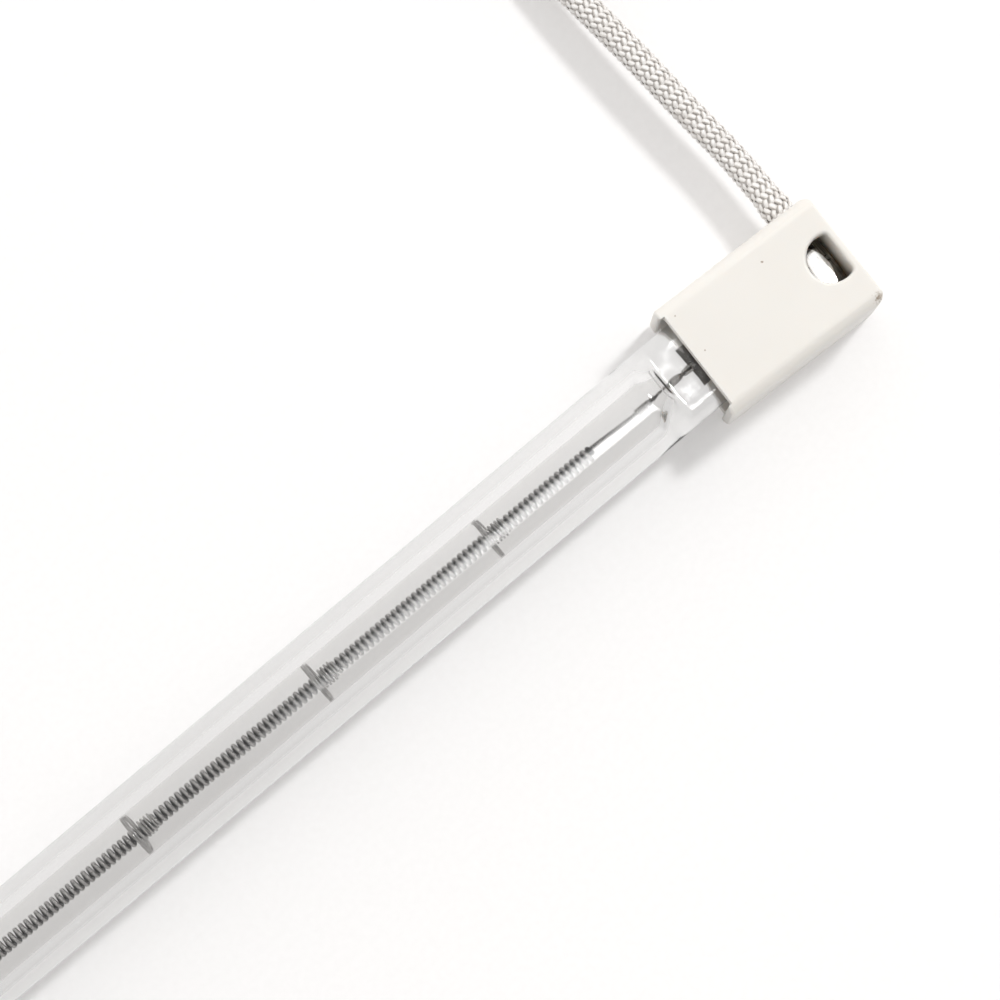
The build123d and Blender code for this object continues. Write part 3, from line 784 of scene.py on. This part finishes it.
def glass_stations():
    """Places along the tube: close together at the shoulders and the tip, wide apart elsewhere."""
    fine_from = FLAT_START - max(SHOULDER_LENGTH) - 1
    fine_to = MARK_START + 2
    half = []
    x = 0.0
    while x < TUBE_END - END_ROUNDING_LENGTH:
        half.append(x)
        fine = fine_from - GLASS_STEP < x < fine_to
        x += GLASS_FINE_STEP if fine else GLASS_STEP / 2
    half += [TUBE_END - gap for gap in GLASS_END_STATIONS]
    tip = [TIP_X + GLASS_TIP_STEP * k for k in range(-GLASS_TIP_STEPS, GLASS_TIP_STEPS + 1)]
    return sorted({round(x, 4) for x in half + [-x for x in half] + tip})


def quartz_tube(glass, bore_glass_painted_shade):
    """The tube's outside and, facing inwards, the wall of its bore, greyed as painted shade on what shows
    through the bore.
    """
    bm = bmesh.new()
    angles = [math.tau * (k + 0.5) / GLASS_SIDES for k in range(GLASS_SIDES)]
    rings = []
    for x in glass_stations():
        rounding = 1 - END_ROUNDING * smoothstep(TUBE_END - END_ROUNDING_LENGTH, TUBE_END, abs(x)) ** 2
        ring = [glass_point(x, angle) for angle in angles]
        rings.append([Vector((p.x, p.y * rounding, AXIS_Z + (p.z - AXIS_Z) * rounding)) for p in ring])
    loft(bm, rings)
    dome = [math.sin(math.pi / 2 * k / BORE_DOME_STEPS) for k in range(BORE_DOME_STEPS)]
    power = BORE_DOME_POWER
    ends = [(BORE_END - BORE_DOME * (1 - s), BORE_RADIUS * (1 - s**power) ** (1 / power)) for s in dome]
    profile = [(-x, radius) for x, radius in reversed(ends)]
    steps = math.ceil((BORE_END - BORE_DOME - BORE_TAPER_START) / BORE_TAPER_STEP)
    taper = [BORE_TAPER_START + BORE_TAPER_STEP * k for k in range(steps)]
    straight = [-x for x in reversed(taper)] + [-COIL_HALF, 0.0, COIL_HALF] + taper
    profile += [(x, BORE_RADIUS) for x in straight] + ends
    outside = len(bm.faces)
    loft(bm, [bore_ring(x, radius) for x, radius in profile], inwards=True)
    bm.faces.ensure_lookup_table()
    for face in bm.faces[outside:]:
        face.material_index = 1
    return finished("quartz_tube_glass", mesh_of(bm, glass, bore_glass_painted_shade), "quartz", "quartz_tube")


def winding(tree, metal, x, turns, pitch, radius, wire, angle=0.0, end_radius=None, steps=18, sides=8):
    return grown_mesh(tree, {
        "Start X": x, "Start Angle": angle, "Turns": turns, "Pitch": pitch, "Start Radius": radius,
        "End Radius": radius if end_radius is None else end_radius, "Wire": wire,
        "Steps": steps, "Sides": sides, "Material": metal,
    })


def tail(tree, metal, core_metal_painted_shade):
    """The right-hand tail: a straight wire, overwound, that leans from the coil's side to the axis."""
    start = COIL_HALF - TAIL_OVERLAP
    core = winding(tree, core_metal_painted_shade, start, 1.0, TAIL_END - start, 0.0, TAIL_CORE, sides=10, steps=24)
    count = (SLEEVE_START - start) / TAIL_PITCH
    thin = winding(tree, metal, start, count, TAIL_PITCH, TAIL_RADIUS, TAIL_WIRE, steps=14)
    count = (TAIL_END - SLEEVE_START) / SLEEVE_PITCH
    thick = winding(tree, metal, SLEEVE_START, count, SLEEVE_PITCH, SLEEVE_RADIUS, SLEEVE_WIRE, steps=14)
    mesh = joined([core, thin, thick])
    for vertex in mesh.vertices:
        vertex.co.y += TAIL_LEAN * (1 - smoothstep(start, SLEEVE_START, vertex.co.x))
    return mesh


def filament(tree, metal, tail_metal, core_metal_painted_shade):
    turns = 2 * COIL_HALF / COIL_PITCH
    coil = winding(tree, metal, -COIL_HALF, turns, COIL_PITCH, COIL_RADIUS, COIL_WIRE, steps=18, sides=8)
    last = math.tau * turns
    draw_in = winding(
        tree, metal, COIL_HALF, DRAW_IN_TURNS, DRAW_IN_PITCH,
        COIL_RADIUS, COIL_WIRE, last, TAIL_LEAN, steps=24,
    )
    right = [draw_in, tail(tree, tail_metal, core_metal_painted_shade)]
    left = [mesh.copy() for mesh in right]
    for mesh in left:
        mesh.transform(Matrix.Rotation(math.pi, 4, "Z"))
    return finished("filament_wire", joined([coil] + right + left), "tungsten", "filament")


def support(tree, metal, node_name):
    """One wire: a ring in the bore, a run inwards, and a few turns on the coil."""
    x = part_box(node_name)[0].x / MM + SUPPORT_WIRE / 2
    ring = winding(tree, metal, x, RING_TURNS, RING_PITCH, RING_RADIUS, SUPPORT_WIRE, steps=40)
    x += RING_TURNS * RING_PITCH
    angle = math.tau * RING_TURNS
    inrun = winding(
        tree, metal, x, INRUN_TURNS, INRUN_PITCH, RING_RADIUS, SUPPORT_WIRE, angle, GRIP_RADIUS, steps=40
    )
    x += INRUN_TURNS * INRUN_PITCH
    angle += math.tau * INRUN_TURNS
    grip = winding(tree, metal, x, GRIP_TURNS, GRIP_PITCH, GRIP_RADIUS, SUPPORT_WIRE, angle, steps=24)
    return finished(node_name + "_wire", joined([ring, inrun, grip]), "support_wire", node_name)


def inner_lead(metal, end, turn):
    """The lead's wire with its bulb in the glass, and the rough weld on the foil."""
    bm = bmesh.new()
    tip = LEAD_WIRE_RADIUS * LEAD_TIP
    profile = [(INNER_LEAD_START, tip), (INNER_LEAD_START + 0.1, LEAD_WIRE_RADIUS)]
    for k in range(BULB_STEPS + 1):
        share = k / BULB_STEPS
        x = BULB_START + (BULB_END - BULB_START) * share
        swell = math.sin(math.pi * share) ** 0.8
        profile.append((x, LEAD_WIRE_RADIUS + (BULB_RADIUS - LEAD_WIRE_RADIUS) * swell))
    profile += [(INNER_LEAD_END, LEAD_WIRE_RADIUS), (INNER_LEAD_END + 0.05, tip)]
    loft(bm, [around_axis(x, radius, 24) for x, radius in profile])
    rings = []
    for k in range(WELD_STEPS + 1):
        share = k / WELD_STEPS
        x = WELD_START + (WELD_END - WELD_START) * share
        width = WELD_HALF_WIDTH * math.sin(math.pi * (0.08 + 0.84 * share)) ** 0.5
        ring = []
        for i in range(WELD_SIDES):
            angle = math.tau * i / WELD_SIDES
            spot = Vector((x * 2.2, math.cos(angle) * 1.5, math.sin(angle) * 1.5))
            rough = 1 + WELD_ROUGHNESS * noise.noise(spot)
            y = width * rough * math.cos(angle)
            ring.append(Vector((x, y, AXIS_Z + WELD_HALF_HEIGHT * rough * math.sin(angle))))
        rings.append(ring)
    loft(bm, rings)
    mesh = mesh_of(bm, metal)
    mesh.transform(Matrix.Rotation(turn, 4, "Z"))
    return finished(f"inner_lead_{end}_wire", mesh, "molybdenum", f"inner_lead_{end}")


def crimp_sleeve(metal, end, turn):
    """The crimped sleeve: a slightly crowned barrel with turned-in ends and one square crimp mark."""
    bm = bmesh.new()
    profile = []
    for k in range(CRIMP_STEPS + 1):
        v = CRIMP_HALF_LENGTH * (2 * k / CRIMP_STEPS - 1)
        lip = 1 - smoothstep(CRIMP_HALF_LENGTH, CRIMP_HALF_LENGTH - CRIMP_LIP, abs(v))
        crowned = CRIMP_RADIUS - CRIMP_CROWN * (v / CRIMP_HALF_LENGTH) ** 2
        profile.append((v, crowned - CRIMP_LIP_DEPTH * lip))
    profile += [(CRIMP_HALF_LENGTH, CRIMP_BORE), (-CRIMP_HALF_LENGTH, CRIMP_BORE)]
    rings = []
    for v, radius in profile:
        middle = LEAD_U if radius == CRIMP_BORE else CRIMP_U
        ring = []
        for i in range(CRIMP_SIDES):
            angle = math.tau * i / CRIMP_SIDES
            sideways = CRIMP_RADIUS * math.remainder(angle - DENT_TURN, math.tau)
            inside = 1 - smoothstep(DENT_FLOOR * DENT_HALF, DENT_HALF, max(abs(sideways), abs(v - DENT_Y)))
            if radius > CRIMP_BORE:
                shares = abs(math.sin(angle)) / CRIMP_RADIUS, abs(math.cos(angle)) / CRIMP_HALF_HEIGHT
                squared = sum(share**CRIMP_SQUARENESS for share in shares) ** (-1 / CRIMP_SQUARENESS)
                reach = squared + radius - CRIMP_RADIUS - DENT_DEPTH * inside
            else:
                reach = radius
            u = middle + reach * math.sin(angle)
            ring.append(cap_point(u, v, AXIS_Z + reach * math.cos(angle)))
        rings.append(ring)
    loft(bm, rings, tunnel=True)
    bmesh.ops.recalc_face_normals(bm, faces=bm.faces)
    mesh = mesh_of(bm, metal)
    mesh.transform(Matrix.Rotation(turn, 4, "Z"))
    return finished(f"crimp_sleeve_{end}_barrel", mesh, "crimp_metal", f"crimp_sleeve_{end}")


def smooth_copy(node_name, name, made, bevel=0.0):
    """A node's own shape with its triangles merged, its edges eased and its curved faces smooth."""
    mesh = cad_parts[node_name].data.copy()
    for layer in [a for a in mesh.attributes if a.name == "custom_normal"]:
        mesh.attributes.remove(layer)
    bm = bmesh.new()
    bm.from_mesh(mesh)
    bmesh.ops.remove_doubles(bm, verts=bm.verts, dist=MERGE_DISTANCE * MM)
    bmesh.ops.dissolve_limit(bm, angle_limit=FLAT_ANGLE, verts=bm.verts, edges=bm.edges)
    bm.to_mesh(mesh)
    bm.free()
    mesh.materials.clear()
    mesh.materials.append(made)
    mesh.shade_smooth()
    mesh.set_sharp_from_angle(angle=SHARP_ANGLE)
    copy = bpy.data.objects.new(name, mesh)
    scene.collection.objects.link(copy)
    if bevel:
        edges = copy.modifiers.new("eased", "BEVEL")
        edges.width = bevel * MM
        edges.segments = BEVEL_SEGMENTS
        edges.limit_method = "ANGLE"
        edges.angle_limit = BEVEL_ANGLE
    weighted = copy.modifiers.new("weighted", "WEIGHTED_NORMAL")
    weighted.keep_sharp = True
    graph = bpy.context.evaluated_depsgraph_get()
    plain = bpy.data.meshes.new_from_object(copy.evaluated_get(graph))
    copy.modifiers.clear()
    copy.data = plain
    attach(copy, BODY)
    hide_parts(node_name)
    return copy


# Braided lead

def layer_height(swept):
    """How high the lead lies in its coil: on the floor at first, then over its own first turn."""
    return LEAD_DIAMETER / 2 + sum(rise * smoothstep(low, high, swept) for low, high, rise in LAYER_RISES)


def lead_points():
    """The control points of the lead: out of the cap, down to the floor and round its coil."""
    points = [cap_point(LEAD_U, LEAD_START_V)] + [Vector(p) for p in LEAD_ROUTE]
    centre = Vector((*LEAD_COIL_CENTRE, 0))
    points.append(centre + Vector((-LEAD_COIL_RADIUS, 0, LEAD_DIAMETER / 2)))
    step = math.tau / LEAD_COIL_POINTS
    reach = LEAD_COIL_RADIUS / math.cos(step / 2)
    for k in range(1, round(LEAD_COIL_SWEEP / step) + 1):
        swept = k * step
        angle = math.pi - swept
        place = Vector((reach * math.cos(angle), reach * math.sin(angle), layer_height(swept)))
        points.append(centre + place)
    return points


def lead_line():
    """The lead's smooth line, as a mesh of points and edges."""
    curve = bpy.data.curves.new("lead_route", "CURVE")
    curve.dimensions = "3D"
    curve.resolution_u = 12
    spline = curve.splines.new("NURBS")
    points = lead_points()
    spline.points.add(len(points) - 1)
    for point, place in zip(spline.points, points):
        point.co = (*place, 1.0)
    spline.order_u = 3
    spline.use_endpoint_u = True
    host = bpy.data.objects.new("lead_route", curve)
    scene.collection.objects.link(host)
    graph = bpy.context.evaluated_depsgraph_get()
    line = bpy.data.meshes.new_from_object(host.evaluated_get(graph))
    bpy.data.objects.remove(host)
    return line


def stepped(line):
    """The same line with even steps, finer where the lead runs free than in its coil."""
    corners = [vertex.co.copy() for vertex in line.vertices]
    points = [corners[0]]
    done = 0.0
    wanted = FREE_STEP
    for start, end in zip(corners, corners[1:]):
        length = (end - start).length
        while wanted <= done + length:
            points.append(start.lerp(end, (wanted - done) / length))
            wanted += FREE_STEP if wanted < FREE_LENGTH else COIL_STEP
        done += length
    mesh = bpy.data.meshes.new("stepped")
    mesh.from_pydata(points, [(k, k + 1) for k in range(len(points) - 1)], [])
    return mesh


def braided_lead(yarn, core):
    line = stepped(lead_line())
    mesh = grown_mesh(braid_tree(), {
        "Yarns": YARNS_EACH_WAY, "Lay": BRAID_LAY, "Radius": BRAID_RADIUS, "Rise": BRAID_RISE,
        "Width": YARN_WIDTH, "Thickness": YARN_THICKNESS, "Core Radius": BRAID_CORE_RADIUS,
        "Flare": BRAID_FLARE, "Flare At": FLARE_AT, "Flare Reach": FLARE_REACH,
        "Yarn Material": yarn, "Core Material": core,
    }, line)
    lead = finished("braided_lead_yarns", mesh, "glass_braid", "braided_lead", "lead_coil")
    return lead


# Stage

def floor():
    mesh = bpy.data.meshes.new("floor")
    corners = [(x * FLOOR_HALF, y * FLOOR_HALF, 0) for x, y in ((-1, -1), (1, -1), (1, 1), (-1, 1))]
    mesh.from_pydata(corners, [], [(0, 1, 2, 3)])
    made, tree, shader = material("paper", Roughness=0.9, Specular_IOR_Level=0.1)
    grain = noise_at(tree, object_place(tree), 1.2, 3.0)
    colour = shades(tree, grain, (0.3, (0.93, 0.925, 0.925)), (0.7, (0.96, 0.955, 0.955)))
    tree.links.new(colour, shader.inputs["Base Color"])
    rays = node(tree, "ShaderNodeLightPath").outputs
    seen = maths(tree, "MULTIPLY", rays["Is Camera Ray"], FLOOR_LIFT)
    parts = node(tree, "ShaderNodeSeparateXYZ", {0: object_place(tree)}).outputs
    # Painted light and shade: the floor's glow seen through glass is less white on the tube's -Y side, away
    # from its right-hand end and under its pressed end.
    painted_glow_in_glass = spread(tree, parts["X"], *FLOOR_IN_GLASS_AT, *FLOOR_IN_GLASS)
    sides = spread(tree, parts["Y"], *FLOOR_SIDES_AT, *FLOOR_IN_GLASS_SIDES)
    painted_glow_in_glass = maths(tree, "MULTIPLY", painted_glow_in_glass, sides)
    under_end = spread(tree, parts["X"], PRESSED_FROM, PRESSED_TO, 1.0, FLOOR_IN_PRESSED_GLASS)
    painted_glow_in_glass = maths(tree, "MULTIPLY", painted_glow_in_glass, under_end)
    seen = maths(tree, "MULTIPLY_ADD", rays["Is Transmission Ray"], FLOOR_LIFT_IN_GLASS, seen)
    glow = spread(tree, rays["Is Transmission Ray"], 0.0, 1.0, 1.0, painted_glow_in_glass)
    white = node(tree, "ShaderNodeEmission", {"Color": (1, 0.98, 0.965, 1), "Strength": glow}).outputs[0]
    lifted = node(tree, "ShaderNodeMixShader", {0: seen, 1: shader.outputs[0], 2: white}).outputs[0]
    tree.links.new(lifted, tree.nodes["Material Output"].inputs["Surface"])
    mesh.materials.append(made)
    stage = bpy.data.objects.new("floor", mesh)
    scene.collection.objects.link(stage)


def softbox(name, spot, aim, width, length, watts, mirrored_in=()):
    """A lamp that fades towards its edges; one that is mirrored in a few pieces lights nothing else."""
    light = bpy.data.lights.new(name, "AREA")
    light.shape = "RECTANGLE"
    light.size = width
    light.size_y = length
    light.energy = watts
    light.use_nodes = True
    tree = light.node_tree
    place = node(tree, "ShaderNodeNewGeometry").outputs["Parametric"]
    parts = node(tree, "ShaderNodeSeparateXYZ", {0: place}).outputs
    waves = [maths(tree, "SINE", maths(tree, "MULTIPLY", parts[axis], math.pi)) for axis in "XY"]
    glow = maths(tree, "MULTIPLY", maths(tree, "MULTIPLY", *waves), math.pi**2 / 4)
    tree.links.new(glow, tree.nodes["Emission"].inputs["Strength"])
    lamp = bpy.data.objects.new(name, light)
    if mirrored_in:
        lamp.visible_diffuse = False
        lamp.visible_transmission = False
        pieces = bpy.data.collections.new(name)
        for piece in mirrored_in:
            pieces.objects.link(piece)
        lamp.light_linking.receiver_collection = pieces
    lamp.location = spot
    lamp.rotation_euler = (Vector(aim) - Vector(spot)).to_track_quat("-Z", "Y").to_euler()
    scene.collection.objects.link(lamp)


def room():
    """A pale room, brighter overhead and on the lead's side, and plain white where the camera looks past."""
    world = bpy.data.worlds.new("room")
    world.use_nodes = True
    tree = world.node_tree
    place = node(tree, "ShaderNodeTexCoord").outputs["Generated"]
    parts = node(tree, "ShaderNodeSeparateXYZ", {0: place}).outputs
    light = spread(tree, parts["Z"], 0.0, 0.9, *ROOM_LIGHT)
    light = maths(tree, "MULTIPLY", light, spread(tree, parts["Y"], -1.0, 1.0, *ROOM_SIDES))
    rays = node(tree, "ShaderNodeLightPath").outputs
    light = maths(tree, "MULTIPLY", light, spread(tree, rays["Is Glossy Ray"], 0.0, 1.0, 1.0, ROOM_MIRRORED))
    seen = maths(tree, "MAXIMUM", rays["Is Camera Ray"], rays["Is Transmission Ray"])
    white = spread(tree, rays["Is Transmission Ray"], 0.0, 1.0, ROOM_SEEN, ROOM_IN_GLASS)
    strength = node(tree, "ShaderNodeMix", {"Factor": seen, 2: light, 3: white}, data_type="FLOAT").outputs[0]
    tree.links.new(strength, tree.nodes["Background"].inputs["Strength"])
    tree.nodes["Background"].inputs["Color"].default_value = (1, 0.985, 0.972, 1)
    scene.world = world


def camera():
    lens = bpy.data.cameras.new("camera")
    lens.lens = LENS
    lens.sensor_width = SENSOR
    lens.clip_start = 0.01
    eye = bpy.data.objects.new("camera", lens)
    level = Vector((math.sin(CAMERA_AZIMUTH), math.cos(CAMERA_AZIMUTH), 0))
    ahead = level * math.cos(CAMERA_ELEVATION) - Vector((0, 0, math.sin(CAMERA_ELEVATION)))
    right = Vector((math.cos(CAMERA_AZIMUTH), -math.sin(CAMERA_AZIMUTH), 0))
    turn = Matrix((right, right.cross(ahead), -ahead)).transposed()
    eye.matrix_world = Matrix.Translation(CAMERA_PLACE) @ turn.to_4x4()
    scene.collection.objects.link(eye)
    scene.camera = eye


def dress(node_name, made):
    """Gives a node that keeps its own shape its material."""
    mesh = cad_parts[node_name].data
    mesh.materials.clear()
    mesh.materials.append(made)


def build():
    camera()
    room()
    floor()
    softbox("key", *KEY_LAMP)
    plate = plated_metal()
    ceramic = glazed_ceramic()
    molybdenum = wire_metal("molybdenum_wire", (0.3, 0.29, 0.28), (0.46, 0.45, 0.43), 0.25)
    support_metal = wire_metal("support_wire", (0.36, 0.355, 0.35), (0.6, 0.59, 0.58), 0.16)
    foil = foil_metal()
    cement = cement_paste()
    wire_tree = wound_wire_tree()
    glass = quartz("quartz", (0.975, 0.98, 0.98), 0.16)
    # The bore's grey is painted shade on what is seen through it.
    bore_glass_painted_shade = quartz("quartz_bore_painted_shade", (0.87, 0.865, 0.86), 0.4)
    mirrors = [quartz_tube(glass, bore_glass_painted_shade)]
    tail_metal = wire_metal("tail_wire", (0.4, 0.39, 0.38), (0.58, 0.57, 0.55), 0.25)
    # The tail's core is near black: painted shade in the gaps between the windings over it.
    core_metal_painted_shade = wire_metal("tail_core_painted_shade", (0.04, 0.04, 0.04), (0.07, 0.07, 0.07), 0.5)
    filament(wire_tree, coil_metal_painted_shading(), tail_metal, core_metal_painted_shade)
    for name in SUPPORTS:
        support(wire_tree, support_metal, name)
    for end, turn in ENDS.items():
        inner_lead(molybdenum, end, turn)
        mirrors.append(crimp_sleeve(plate, end, turn))
        smooth_copy(f"end_cap_{end}", f"end_cap_{end}_glazed", ceramic)
        dress(f"seal_foil_{end}", foil)
        dress(f"outer_pin_{end}", molybdenum)
        dress(f"cement_{end}", cement)
    dress("lead_conductor", strand_metal())
    ferrule = smooth_copy("lead_ferrule", "lead_ferrule_crimped", plate, 0.08)
    tie = smooth_copy("lead_tie", "lead_tie_band", soft_band(), 0.1)
    braided_lead(glass_yarn(), lead_core())
    softbox("overhead", *STREAK_LAMP, mirrors)


build()
scene.view_settings.view_transform = "Standard"
bpy.context.view_layer.update()
